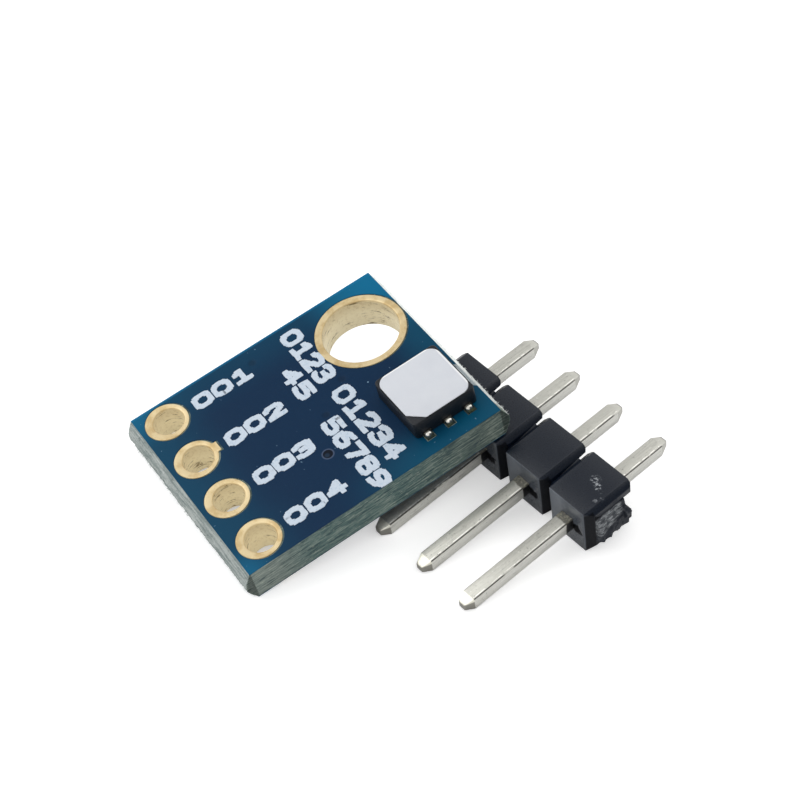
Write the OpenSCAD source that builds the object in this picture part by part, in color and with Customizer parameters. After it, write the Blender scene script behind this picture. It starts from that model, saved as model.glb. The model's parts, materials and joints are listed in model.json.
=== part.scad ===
// Temperature and humidity sensor module: a small circuit board with its four-way
// pin header, the board leaning on the header as the two lie before assembly.
// Millimetres, +Z up, floor at z = 0. The origin is the middle of the board's lower
// edge, where it rests on the floor. +Y runs up the board, +X along that edge.

/* [Circuit board] */
// Length from the pad edge to the sensor edge
board_l = 12.1; // [11.9:0.05:12.8]
// Thickness over both solder masks
board_t = 1.6; // [1.4:0.05:1.8]
// How far the snapped web stands out of each short edge
score_out = 0.3; // [0.1:0.05:0.35]
// Thickness of the snapped web
score_web = 0.3; // [0.3:0.05:0.6]
// Thickness of one solder mask
mask_t = 0.03; // [0.02:0.01:0.04]
// How far a pad stands out of the solder mask
copper_proud = 0.02; // [0.01:0.01:0.03]
// Gap between a pad and the solder mask round it
mask_gap = 0.05; // [0.04:0.01:0.08]
// How far the openings for the rings sit up the board from the rings
mask_slip = 0.03; // [0:0.01:0.03]

/* [Header pads] */
// Distance between neighbouring pads, and between neighbouring pins
pitch = 2.54; // [2.5:0.01:2.58]
// Finished hole in a header pad
pad_hole_d = 1.35; // [1.1:0.01:1.4]
// How far a header pad's hole sits up the board from the middle of its ring
drill_slip = 0.07; // [0:0.01:0.1]
// Outer diameter of a header pad
pad_ring_d = 1.9; // [1.85:0.01:2.1]
// Distance of the pads from the pad edge of the board
pad_end = 1.18; // [1.15:0.01:1.4]
// Distance of the first pad from the right edge of the board
pad_side = 1.21; // [1.1:0.01:1.25]
// Wall thickness of a plated hole
plating_t = 0.05; // [0.03:0.01:0.08]
// Length of the stub that leaves the third pad
stub_l = 0.13; // [0.1:0.01:0.4]
// Width of that stub
stub_w = 0.52; // [0.3:0.01:0.8]

/* [Mounting hole] */
// Finished mounting hole
mount_hole_d = 3.37; // [3:0.01:3.4]
// Outer diameter of the ring round it
mount_ring_d = 3.98; // [3.7:0.01:4.05]
// Distance of the hole's centre from the sensor edge of the board
mount_end = 2.05; // [2.04:0.01:2.3]
// Distance of the hole's centre from the left edge of the board
mount_side = 2.55; // [2.3:0.01:2.7]

/* [Sensor] */
// Side of the square sensor package
sensor_w = 3; // [2.8:0.05:3.1]
// Height of the package over its pads
sensor_h = 0.9; // [0.8:0.05:1.2]
// Distance of the package's centre from the sensor edge of the board
sensor_end = 1.92; // [1.8:0.01:2.1]
// Distance of the package's centre from the right edge of the board
sensor_side = 2.48; // [2.3:0.01:2.6]
// Distance across the board from the mounting hole's centre to the package's centre
sensor_step = 4.92; // [4.8:0.01:5.5]
// Width of the package's rim round the filter cover
cover_rim = 0.05; // [0.04:0.01:0.2]
// Thickness of the filter cover
cover_t = 0.12; // [0.08:0.01:0.3]
// How far the cover stands out of the package
cover_proud = 0.04; // [0.02:0.01:0.06]
// Corner radius of the cover
cover_r = 0.5; // [0.2:0.01:0.55]
// Cut at the corner of the cover that marks the first lead
cover_cut = 0.6; // [0.3:0.01:0.8]
// Corner radius of the package
sensor_r = 0.18; // [0.05:0.01:0.25]
// Distance between neighbouring leads
lead_pitch = 1; // [0.9:0.01:1.05]
// Width of one lead
lead_w = 0.36; // [0.35:0.01:0.45]
// Height of one lead
lead_t = 0.2; // [0.15:0.01:0.25]
// Length of one lead from the package's wall inwards
lead_l = 0.4; // [0.3:0.01:0.5]
// How far a lead stands out of the package's wall
lead_out = 0.03; // [0.01:0.01:0.05]
// Radius of the solder bump on a lead
solder_r = 0.17; // [0.14:0.01:0.18]
// Length of a pad in front of the package's wall
lead_pad_l = 0.28; // [0.25:0.01:0.35]
// Side of the square pad under the package
centre_pad_w = 1.5; // [1.2:0.05:1.6]

/* [Vias] */
// Hole in a via
via_hole_d = 0.3; // [0.2:0.01:0.35]
// Place of the first via right of the board's middle
via_1_x = -4.13; // [-4.3:0.01:-4]
// Distance of the first via from the sensor edge of the board
via_1_end = 6.52; // [6.1:0.01:7.1]
// Place of the second via right of the board's middle
via_2_x = -0.77; // [-0.9:0.01:-0.6]
// Distance of the second via from the sensor edge of the board
via_2_end = 4.06; // [3.9:0.01:4.3]
// Place of the third via right of the board's middle
via_3_x = 0.38; // [0.2:0.01:0.6]
// Distance of the third via from the sensor edge of the board
via_3_end = 5.59; // [5.1:0.01:5.9]
// Place of the fourth via right of the board's middle
via_4_x = 2.1; // [2:0.01:2.4]
// Distance of the fourth via from the sensor edge of the board
via_4_end = 6.6; // [6.3:0.01:6.9]

/* [Regulator] */
// Length of the regulator's body
reg_l = 2.9; // [2.8:0.05:3]
// Width of the regulator's body
reg_w = 1.3; // [1.2:0.05:1.4]
// Height of the regulator's body
reg_h = 0.95; // [0.85:0.01:1]
// Gap between the regulator's body and the board
reg_gap = 0.05; // [0.02:0.01:0.08]
// Margin of a pad beside a regulator lead
pad_margin = 0.1; // [0.05:0.01:0.15]
// Width over the regulator's leads
reg_span = 2.35; // [2.3:0.05:2.5]
// Width of one regulator lead
reg_lead_w = 0.4; // [0.3:0.01:0.45]
// Thickness of one regulator lead
reg_lead_t = 0.13; // [0.1:0.01:0.15]
// Length of the foot of one regulator lead
reg_foot = 0.3; // [0.25:0.01:0.32]
// Distance between the two leads on one side of the regulator
reg_pitch = 1.9; // [1.8:0.05:2]
// Gap between the mounting ring and the regulator's pad
reg_room = 0.24; // [0.2:0.01:0.35]
// Distance of the regulator's centre from the left edge of the board
reg_side = 2.1; // [2:0.01:2.2]

/* [Resistors and capacitors] */
// Length of one chip
chip_l = 1.6; // [1.5:0.05:1.7]
// Width of one chip
chip_w = 0.8; // [0.7:0.05:0.85]
// Height of one resistor
resistor_h = 0.45; // [0.4:0.01:0.5]
// Height of one capacitor
capacitor_h = 0.75; // [0.7:0.01:0.8]
// Length of one metal end of a chip
chip_end = 0.32; // [0.25:0.01:0.4]
// Thickness of the metal over a chip's end
chip_metal = 0.03; // [0.02:0.01:0.05]
// Solder in front of a chip's end
chip_fillet = 0.3; // [0.2:0.01:0.35]
// Gap between the regulator's body and the pads of the chips beside it
chip_aside = 0.33; // [0.25:0.01:0.4]
// Gap between the header pads and the first chip of the column
chip_room = 0.32; // [0.3:0.01:0.4]
// Gap between neighbouring chips of the column
chip_gap = 0.2; // [0.15:0.01:0.22]

/* [Pin header] */
// Turn of the header against the board's length
header_turn = 7.45; // [6:0.05:9]
// Place of the first block's centre right of the board's middle
header_x = 1.35; // [1.2:0.01:1.5]
// Place of the first block's centre up the floor from the board's lower edge
header_y = 12.44; // [12.3:0.01:12.6]
// Length of a block along the pins
block_d = 2.5; // [2.45:0.01:2.6]
// Height of a block
block_h = 2.5; // [2.45:0.01:2.6]
// Width of the flat on top of a block
block_flat = 1.92; // [1.8:0.01:2.1]
// Height of the chamfer along a block's upper and lower edges
shoulder_h = 0.24; // [0.15:0.01:0.35]
// Depth of the notch between two blocks, from above and from below
notch_h = 0.55; // [0.4:0.01:0.6]
// Width of the gap between two blocks at the foot of the notch
block_gap = 0.12; // [0.08:0.01:0.2]
// Depth of the channel along the far face, which the webs end at
channel_d = 0.52; // [0.3:0.01:0.7]
// Cut at the far corners of a block, seen from above
far_corner = 0.12; // [0.08:0.01:0.2]
// Depth of the notch between two blocks, from the near face
near_notch = 0.4; // [0.2:0.01:0.5]
// How far the torn web stands out of the last block
torn_out = 0.3; // [0.15:0.01:0.4]
// How far the flap at the far end of the torn web stands out of the last block
flap_out = 0.5; // [0.35:0.01:0.55]
// Height of that flap
flap_h = 1; // [0.8:0.01:1.1]
// Thickness of that flap
flap_t = 0.22; // [0.15:0.01:0.3]

/* [Pins] */
// Side of a square pin
pin_w = 0.64; // [0.6:0.01:0.66]
// Length of a pin out of the near face
pin_near = 5.75; // [5.6:0.05:6]
// Length of a pin out of the far face
pin_far = 3; // [2.5:0.05:3.5]
// Length of the taper at each tip
pin_taper = 0.42; // [0.3:0.01:0.6]
// Width of a tip over the width of the pin
pin_tip = 0.5; // [0.35:0.01:0.7]

/* [Hidden] */
$fn = 48;
eps = 0.01;
// clearance where one loose piece rests on the other
rest_gap = 0.02;
core_t = board_t - 2 * mask_t;
// the board is as wide as the mounting hole and the sensor side by side need
board_w = mount_side + sensor_step + sensor_side;
pads_x = board_w / 2 - pad_side;
mount_x = mount_side - board_w / 2;
mount_y = board_l - mount_end;
sensor_x = board_w / 2 - sensor_side;
sensor_y = board_l - sensor_end;
cover_w = sensor_w - 2 * cover_rim;
seat_z = board_t + copper_proud;
web_l = block_d - near_notch - channel_d;
web_h = block_h - 2 * notch_h;
reg_x = reg_side - board_w / 2;
reg_y = mount_y - mount_ring_d / 2 - reg_room - reg_span / 2 - 2 * pad_margin;
chip_x = reg_x + reg_l / 2 + chip_aside + chip_fillet + chip_l / 2;
chip_y = pad_end + pad_ring_d / 2 + chip_room + chip_w / 2;
// the header tips forward until the near tips of its pins touch the floor
tip_reach = pin_near - pin_taper;
tip_drop = block_h / 2 - pin_w / 2;
header_tip = atan2(tip_drop, tip_reach);
// the top corner of the first block that the board leans on
corner_u = -block_flat / 2;
corner_v = -block_d / 2 - block_h * sin(header_tip);
corner_z = block_h * cos(header_tip);
corner_x = header_x + corner_u * cos(header_turn) - corner_v * sin(header_turn);
corner_y = header_y + corner_u * sin(header_turn) + corner_v * cos(header_turn);
board_lean = atan2(corner_z, corner_y) + asin(rest_gap / norm([corner_y, corner_z]));
via_places = [[via_1_x, board_l - via_1_end], [via_2_x, board_l - via_2_end],
    [via_3_x, board_l - via_3_end], [via_4_x, board_l - via_4_end]];

// places its children in the board's own frame: underside at z = 0, lower edge at y = 0
module on_board() {
    rotate([board_lean, 0, 0]) children();
}

// places its children in the header's own frame: first block over the origin
module on_header() {
    translate([header_x, header_y, 0]) rotate([0, 0, header_turn])
        translate([0, -block_d / 2, 0]) rotate([header_tip, 0, 0])
        translate([0, block_d / 2, 0]) children();
}

// puts its children under the board, upside down, so that z runs away from the board
module under_board() {
    mirror([0, 0, 1]) children();
}

module pad_place(i) {
    translate([pads_x - i * pitch, pad_end, 0]) children();
}

module sensor_place() {
    translate([sensor_x, sensor_y, 0]) children();
}

module each_lead() {
    for (side = [0, 180], k = [-1, 0, 1])
        rotate([0, 0, side]) translate([sensor_w / 2, k * lead_pitch, 0]) children();
}

// the chips stand in one column beside the regulator, the resistors nearer the header pads
module chip_place(k) {
    translate([chip_x, chip_y + k * (chip_w + chip_gap), 0]) children();
}

module each_chip() {
    for (k = [0:3]) chip_place(k) children();
}

module each_reg_foot() {
    translate([reg_x, reg_y, 0]) {
        for (s = [-1, 1]) translate([s * reg_pitch / 2, -reg_span / 2 + reg_foot / 2, 0]) children();
        translate([0, reg_span / 2 - reg_foot / 2, 0]) rotate([0, 0, 180]) children();
    }
}

// outline of every plated hole, widened by more
module hole_cuts(more) {
    for (i = [0:3]) pad_place(i) translate([0, drill_slip, -1])
        cylinder(d = pad_hole_d + 2 * more, h = board_t + 2);
    translate([mount_x, mount_y, -1]) cylinder(d = mount_hole_d + 2 * more, h = board_t + 2, $fn = 96);
}

// openings of the mask round the pads and the mounting ring
module ring_windows() {
    translate([0, mask_slip]) {
        for (i = [0:3]) pad_place(i) circle(d = pad_ring_d + 2 * mask_gap);
        pad_place(2) translate([-stub_w / 2 - mask_gap, 0])
            square([stub_w + 2 * mask_gap, pad_ring_d / 2 + stub_l + mask_gap]);
        translate([mount_x, mount_y]) circle(d = mount_ring_d + 2 * mask_gap, $fn = 96);
    }
}

module lead_pad_2d(more) {
    translate([-lead_l - more, -lead_w / 2 - more])
        square([lead_l + lead_pad_l + 2 * more, lead_w + 2 * more]);
}

module chip_pads_2d(more) {
    for (s = [-1, 1])
        translate([s * (chip_l / 2 - chip_end / 2 + chip_fillet / 2), 0])
            square([chip_end + chip_fillet + 2 * more, chip_w + 2 * more], center = true);
}

module reg_pad_2d(more) {
    square([reg_lead_w + 2 * (pad_margin + more), reg_foot + 2 * (2 * pad_margin + more)], center = true);
}

module substrate() {
    low = board_t / 2 - score_web / 2;
    high = board_t / 2 + score_web / 2;
    color("darkolivegreen") on_board() difference() {
        rotate([90, 0, 90]) translate([0, 0, -board_w / 2]) linear_extrude(board_w)
            polygon([[0, mask_t], [board_l, mask_t], [board_l + score_out, low],
                [board_l + score_out, high], [board_l, board_t - mask_t],
                [0, board_t - mask_t], [-score_out, high], [-score_out, low]]);
        hole_cuts(plating_t);
        for (p = via_places) translate([p[0], p[1], -1])
            cylinder(d = via_hole_d + 2 * plating_t, h = board_t + 2);
    }
}

module mask_sheet() {
    translate([-board_w / 2, 0]) square([board_w, board_l]);
}

module top_solder_mask() {
    color("midnightblue") on_board() translate([0, 0, board_t - mask_t])
        linear_extrude(mask_t) difference() {
            mask_sheet();
            ring_windows();
            sensor_place() {
                each_lead() lead_pad_2d(mask_gap);
                square(centre_pad_w + 2 * mask_gap, center = true);
            }
        }
}

module bottom_solder_mask() {
    color("midnightblue") on_board() linear_extrude(mask_t) difference() {
        mask_sheet();
        ring_windows();
        each_chip() chip_pads_2d(mask_gap);
        each_reg_foot() reg_pad_2d(mask_gap);
    }
}

// a plated hole: barrel through the board and a ring on each face
module plated_hole(hole_d, ring_d, slip = 0) {
    difference() {
        union() {
            translate([0, slip, mask_t]) cylinder(d = hole_d + 2 * plating_t, h = core_t);
            translate([0, 0, -copper_proud]) cylinder(d = ring_d, h = mask_t + copper_proud);
            translate([0, 0, board_t - mask_t]) cylinder(d = ring_d, h = mask_t + copper_proud);
        }
        translate([0, slip, -1]) cylinder(d = hole_d, h = board_t + 2);
    }
}

module header_pad(i) {
    color("goldenrod") on_board() pad_place(i) plated_hole(pad_hole_d, pad_ring_d, drill_slip);
}

module header_pad_1() { header_pad(0); }
module header_pad_2() { header_pad(1); }
module header_pad_4() { header_pad(3); }

module header_pad_3() {
    color("goldenrod") on_board() pad_place(2) {
        plated_hole(pad_hole_d, pad_ring_d, drill_slip);
        translate([-stub_w / 2, (pad_hole_d + pad_ring_d) / 4, board_t - mask_t])
            cube([stub_w, (pad_ring_d - pad_hole_d) / 4 + stub_l, mask_t + copper_proud]);
    }
}

module mounting_ring() {
    color("goldenrod") on_board() translate([mount_x, mount_y, 0])
        plated_hole(mount_hole_d, mount_ring_d, $fn = 96);
}

// small plated holes with the mask drawn over them
module vias() {
    color("steelblue") on_board() for (p = via_places) translate([p[0], p[1], mask_t]) difference() {
        cylinder(d = via_hole_d + 2 * plating_t, h = core_t, $fn = 24);
        translate([0, 0, 0.1]) cylinder(d = via_hole_d, h = core_t - 0.2, $fn = 24);
    }
}

module sensor_pads() {
    color("tan") on_board() sensor_place() translate([0, 0, board_t - mask_t])
        linear_extrude(mask_t + copper_proud) {
            each_lead() lead_pad_2d(0);
            square(centre_pad_w, center = true);
        }
}

module rounded_square(w, r) {
    square([w, w - 2 * r], center = true);
    square([w - 2 * r, w], center = true);
    for (x = [-1, 1], y = [-1, 1]) translate([x * (w / 2 - r), y * (w / 2 - r)]) circle(r);
}

module cover_shape() {
    difference() {
        rounded_square(cover_w, cover_r);
        translate([cover_w / 2, -cover_w / 2]) rotate([0, 0, 45])
            square(sqrt(2) * cover_cut, center = true);
    }
}

module sensor_body() {
    color("black") on_board() sensor_place() difference() {
        translate([0, 0, seat_z]) linear_extrude(sensor_h) rounded_square(sensor_w, sensor_r);
        translate([0, 0, seat_z + sensor_h - cover_t]) linear_extrude(cover_t + 1) cover_shape();
        each_lead() translate([-lead_l, -lead_w / 2, seat_z - 1]) cube([lead_l + 1, lead_w, lead_t + 1]);
    }
}

module sensor_cover() {
    color("whitesmoke") on_board() sensor_place() translate([0, 0, seat_z + sensor_h - cover_t])
        linear_extrude(cover_t + cover_proud) cover_shape();
}

module sensor_leads() {
    color("silver") on_board() sensor_place() each_lead()
        translate([-lead_l, -lead_w / 2, seat_z]) cube([lead_l + lead_out, lead_w, lead_t]);
}

module sensor_solder() {
    color("silver") on_board() sensor_place() each_lead() translate([lead_out, 0, seat_z])
        intersection() {
            sphere(r = solder_r);
            translate([0, -solder_r, 0]) cube(2 * solder_r);
        }
}

module regulator_body() {
    low = reg_gap + copper_proud;
    color("black") on_board() under_board() translate([reg_x, reg_y, low]) {
        linear_extrude(reg_h / 2, scale = 1) square([reg_l - 0.1, reg_w - 0.1], center = true);
        translate([0, 0, reg_h / 2]) linear_extrude(reg_h / 2, scale = 0.94)
            square([reg_l - 0.1, reg_w - 0.1], center = true);
    }
}

// profile of one lead from the foot up to the body, y running towards the body
module reg_lead() {
    inner = (reg_span - reg_w) / 2 + 0.05;
    rise = reg_gap + reg_h / 2;
    translate([-reg_lead_w / 2, -reg_foot / 2, copper_proud]) rotate([90, 0, 90])
        linear_extrude(reg_lead_w)
            polygon([[0, 0], [reg_foot, 0], [reg_foot + 0.12, rise - reg_lead_t],
                [inner, rise - reg_lead_t], [inner, rise], [reg_foot + 0.01, rise],
                [reg_foot - 0.11, reg_lead_t], [0, reg_lead_t]]);
}

module regulator_leads() {
    color("silver") on_board() under_board() each_reg_foot() reg_lead();
}

module regulator_solder() {
    color("silver") on_board() under_board() each_reg_foot()
        translate([-reg_lead_w / 2, -reg_foot / 2, copper_proud]) rotate([90, 0, 90])
            linear_extrude(reg_lead_w) polygon([[0, 0], [0, reg_lead_t], [-0.18, 0]]);
}

// ceramic of one chip, between and inside its metal ends
module chip_body(h) {
    w = chip_w - 2 * chip_metal;
    translate([0, 0, copper_proud + h / 2])
        cube([chip_l - 2 * chip_metal, w, h - 2 * chip_metal], center = true);
}

module chip_ends(h) {
    for (s = [-1, 1]) difference() {
        translate([s * (chip_l - chip_end) / 2, 0, copper_proud + h / 2])
            cube([chip_end, chip_w, h], center = true);
        chip_body(h);
    }
}

module chip_on(k) {
    on_board() under_board() chip_place(k) children();
}

module resistor_1_body() { color("dimgray") chip_on(0) chip_body(resistor_h); }
module resistor_1_ends() { color("silver") chip_on(0) chip_ends(resistor_h); }
module resistor_2_body() { color("dimgray") chip_on(1) chip_body(resistor_h); }
module resistor_2_ends() { color("silver") chip_on(1) chip_ends(resistor_h); }
module capacitor_1_body() { color("peru") chip_on(2) chip_body(capacitor_h); }
module capacitor_1_ends() { color("silver") chip_on(2) chip_ends(capacitor_h); }
module capacitor_2_body() { color("peru") chip_on(3) chip_body(capacitor_h); }
module capacitor_2_ends() { color("silver") chip_on(3) chip_ends(capacitor_h); }

module chip_solder() {
    color("silver") on_board() under_board() each_chip() for (s = [0, 180])
        rotate([0, 0, s]) translate([chip_l / 2, chip_w / 2, copper_proud]) rotate([90, 0, 0])
            linear_extrude(chip_w) polygon([[0, 0], [chip_fillet, 0], [chip_fillet * 0.4, 0.12], [0, 0.3]]);
}

module bottom_pads() {
    color("tan") on_board() translate([0, 0, -copper_proud]) linear_extrude(mask_t + copper_proud) {
        each_chip() chip_pads_2d(0);
        each_reg_foot() reg_pad_2d(0);
    }
}

// cross-section of one block, seen along the pins
module block_shape(w) {
    c = (w - block_flat) / 2;
    translate([0, block_h / 2])
        polygon([[-block_flat / 2, -block_h / 2], [block_flat / 2, -block_h / 2],
            [block_flat / 2 + c, -block_h / 2 + shoulder_h], [block_flat / 2 + c, block_h / 2 - shoulder_h],
            [block_flat / 2, block_h / 2], [-block_flat / 2, block_h / 2],
            [-block_flat / 2 - c, block_h / 2 - shoulder_h],
            [-block_flat / 2 - c, -block_h / 2 + shoulder_h]]);
}

// outline of one block, seen from above
module block_plan(w) {
    polygon([[-block_flat / 2, -block_d / 2], [block_flat / 2, -block_d / 2],
        [w / 2, -block_d / 2 + near_notch], [w / 2, block_d / 2 - far_corner],
        [w / 2 - far_corner, block_d / 2], [-w / 2 + far_corner, block_d / 2],
        [-w / 2, block_d / 2 - far_corner], [-w / 2, -block_d / 2 + near_notch]]);
}

module block(w) {
    intersection() {
        translate([0, block_d / 2, 0]) rotate([90, 0, 0]) linear_extrude(block_d) block_shape(w);
        linear_extrude(block_h) block_plan(w);
    }
}

module header_housing() {
    color("#24262b") on_header() difference() {
        union() {
            for (k = [0:3]) translate([k * pitch, 0, 0]) block(pitch - block_gap);
            translate([0, -block_d / 2 + near_notch, notch_h])
                cube([3 * pitch, web_l, web_h]);
            translate([3 * pitch + (pitch - block_gap) / 2 - eps, -block_d / 2 + near_notch, notch_h])
                torn_web();
            translate([-(pitch - block_gap) / 2 + eps, -block_d / 2 + near_notch, notch_h])
                mirror([1, 0, 0]) scar();
        }
        for (k = [0:3]) translate([k * pitch, 0, block_h / 2])
            cube([pin_w, 2 * block_d, pin_w], center = true);
        translate([-pitch / 2, block_d / 2 - channel_d, notch_h]) cube([4 * pitch, 2 * channel_d, web_h]);
    }
}

// low ridge where the first block was broken off the strip
module scar() {
    translate([0, 0.1 * web_l, 0.15 * web_h]) rotate([90, 0, 90])
        linear_extrude(block_gap / 2, scale = 0.8) square([0.8 * web_l, 0.7 * web_h]);
}

// what the last block kept of the web: a ragged wedge, thicker towards the floor, with a flap
// of the web's far wall beside it
module torn_web() {
    intersection() {
        translate([0, web_l, 0]) rotate([90, 0, 0]) linear_extrude(web_l)
            polygon([[0, 0], [0.95 * torn_out, 0], [torn_out, 0.2 * web_h],
                [0.7 * torn_out, 0.55 * web_h], [0.35 * torn_out, 0.8 * web_h],
                [0.2 * torn_out, web_h], [0, web_h]]);
        linear_extrude(web_h) polygon([[0, 0], [0.5 * torn_out, 0.04 * web_l], [0.9 * torn_out, 0.12 * web_l],
            [0.72 * torn_out, 0.27 * web_l], [torn_out, 0.36 * web_l], [0.8 * torn_out, 0.5 * web_l],
            [0.95 * torn_out, 0.62 * web_l], [0.75 * torn_out, 0.78 * web_l], [torn_out, web_l], [0, web_l]]);
    }
    translate([0, web_l, 0]) rotate([90, 0, 0]) linear_extrude(flap_t)
        polygon([[0, 0], [0.42 * flap_out, 0.22 * flap_h], [0.55 * flap_out, 0.48 * flap_h],
            [0.84 * flap_out, 0.66 * flap_h], [flap_out, flap_h],
            [0.45 * flap_out, 0.96 * flap_h], [0, 1.04 * flap_h]]);
}

module pin_end() {
    linear_extrude(pin_taper, scale = pin_tip) square(pin_w, center = true);
}

module header_pin(k) {
    straight = block_d + pin_near + pin_far - 2 * pin_taper;
    color("silver") on_header() translate([k * pitch, -block_d / 2 - pin_near + pin_taper, block_h / 2])
        rotate([-90, 0, 0]) {
            linear_extrude(straight) square(pin_w, center = true);
            translate([0, 0, straight]) pin_end();
            mirror([0, 0, 1]) pin_end();
        }
}

module header_pin_1() { header_pin(0); }
module header_pin_2() { header_pin(1); }
module header_pin_3() { header_pin(2); }
module header_pin_4() { header_pin(3); }

substrate();
top_solder_mask();
bottom_solder_mask();
header_pad_1();
header_pad_2();
header_pad_3();
header_pad_4();
mounting_ring();
vias();
sensor_pads();
sensor_body();
sensor_cover();
sensor_leads();
sensor_solder();
regulator_body();
regulator_leads();
regulator_solder();
resistor_1_body();
resistor_1_ends();
resistor_2_body();
resistor_2_ends();
capacitor_1_body();
capacitor_1_ends();
capacitor_2_body();
capacitor_2_ends();
chip_solder();
bottom_pads();
header_housing();
header_pin_1();
header_pin_2();
header_pin_3();
header_pin_4();
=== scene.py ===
import json
import math
import bmesh
import bpy
from mathutils import Matrix, Vector, noise


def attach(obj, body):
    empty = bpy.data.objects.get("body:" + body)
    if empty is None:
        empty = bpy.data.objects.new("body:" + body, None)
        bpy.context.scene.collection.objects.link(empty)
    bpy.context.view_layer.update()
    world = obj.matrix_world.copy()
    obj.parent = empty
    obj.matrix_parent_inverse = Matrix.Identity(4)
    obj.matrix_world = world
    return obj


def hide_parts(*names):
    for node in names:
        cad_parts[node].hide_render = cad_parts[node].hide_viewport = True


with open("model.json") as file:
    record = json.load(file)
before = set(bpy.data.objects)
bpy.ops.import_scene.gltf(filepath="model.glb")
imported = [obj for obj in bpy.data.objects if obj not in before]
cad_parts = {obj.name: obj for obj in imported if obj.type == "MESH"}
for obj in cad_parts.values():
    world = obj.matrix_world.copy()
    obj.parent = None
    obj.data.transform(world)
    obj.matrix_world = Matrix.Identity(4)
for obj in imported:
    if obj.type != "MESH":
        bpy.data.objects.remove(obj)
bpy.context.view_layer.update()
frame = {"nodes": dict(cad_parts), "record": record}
nodes = frame["nodes"]
mounts = {m["name"]: m for m in frame["record"]["mounts"]}
mm = 0.001
print("frame loaded:", len(nodes), "nodes")

# the board's and the header's own frames, in millimetres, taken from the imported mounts
boardAxis = Vector(mounts["mounting_hole"]["axis"])
boardPlace = Matrix.Rotation(math.atan2(-boardAxis.y, boardAxis.z), 4, "X")
headerAxis = Vector(mounts["header_seat"]["axis"])
headerYaw = Matrix.Rotation(math.atan2(-headerAxis.x, headerAxis.y), 4, "Z")
headerTurn = headerYaw @ Matrix.Rotation(math.asin(headerAxis.z), 4, "X")
seatInHeader = Vector((3.14, 1.25, 2.225))       # where the seat mount lies in the header's own frame
seatInRow = Vector(mounts["header_seat"]["pos_m"]) / mm
headerPlace = Matrix.Translation(seatInRow - headerTurn @ seatInHeader) @ headerTurn

board = {"width": 9.95, "length": 12.1, "top": 1.6, "padX": 3.765, "padY": 1.18,
         "mount": (-2.425, 10.05), "skin": 0.03}
header = {"pitch": 2.54, "tornFrom": 8.84, "pinHeight": 1.25}


def hue(code):
    parts = [int(code[i:i + 2], 16) / 255 for i in (0, 2, 4)]
    return tuple(c / 12.92 if c <= 0.04045 else ((c + 0.055) / 1.055) ** 2.4 for c in parts) + (1.0,)


class Wire:
    def __init__(self, graph, socket):
        self.graph, self.socket = graph, socket

    def other(self, name):
        return Wire(self.graph, self.socket.node.outputs[name])

    def __add__(self, value):
        return self.graph.math("ADD", self, value)

    def __radd__(self, value):
        return self.graph.math("ADD", value, self)

    def __sub__(self, value):
        return self.graph.math("SUBTRACT", self, value)

    def __rsub__(self, value):
        return self.graph.math("SUBTRACT", value, self)

    def __mul__(self, value):
        return self.graph.math("MULTIPLY", self, value)

    def __rmul__(self, value):
        return self.graph.math("MULTIPLY", value, self)


class Graph:
    def __init__(self, tree):
        self.tree = tree

    def node(self, kind, settings=None, values=None, out=0):
        made = self.tree.nodes.new(kind)
        for name, value in (settings or {}).items():
            setattr(made, name, value)
        for name, value in (values or {}).items():
            if isinstance(value, Wire):
                self.tree.links.new(value.socket, made.inputs[name])
            else:
                made.inputs[name].default_value = value
        return Wire(self, made.outputs[out]) if len(made.outputs) else None

    def math(self, operation, *values):
        return self.node("ShaderNodeMath", {"operation": operation}, dict(enumerate(values)))

    def most(self, one, other):
        return self.math("MAXIMUM", one, other)

    def upToOne(self, value):
        return self.math("MINIMUM", value, 1.0)

    def distance(self, across, along):
        return self.math("SQRT", across * across + along * along)

    def step(self, value, low, high):
        ends = {0: value, 1: low, 2: high}
        return self.node("ShaderNodeMapRange", {"interpolation_type": "SMOOTHSTEP"}, ends)

    def plug(self, wire, nodeName, socket):
        self.tree.links.new(wire.socket, self.tree.nodes[nodeName].inputs[socket])


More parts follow.
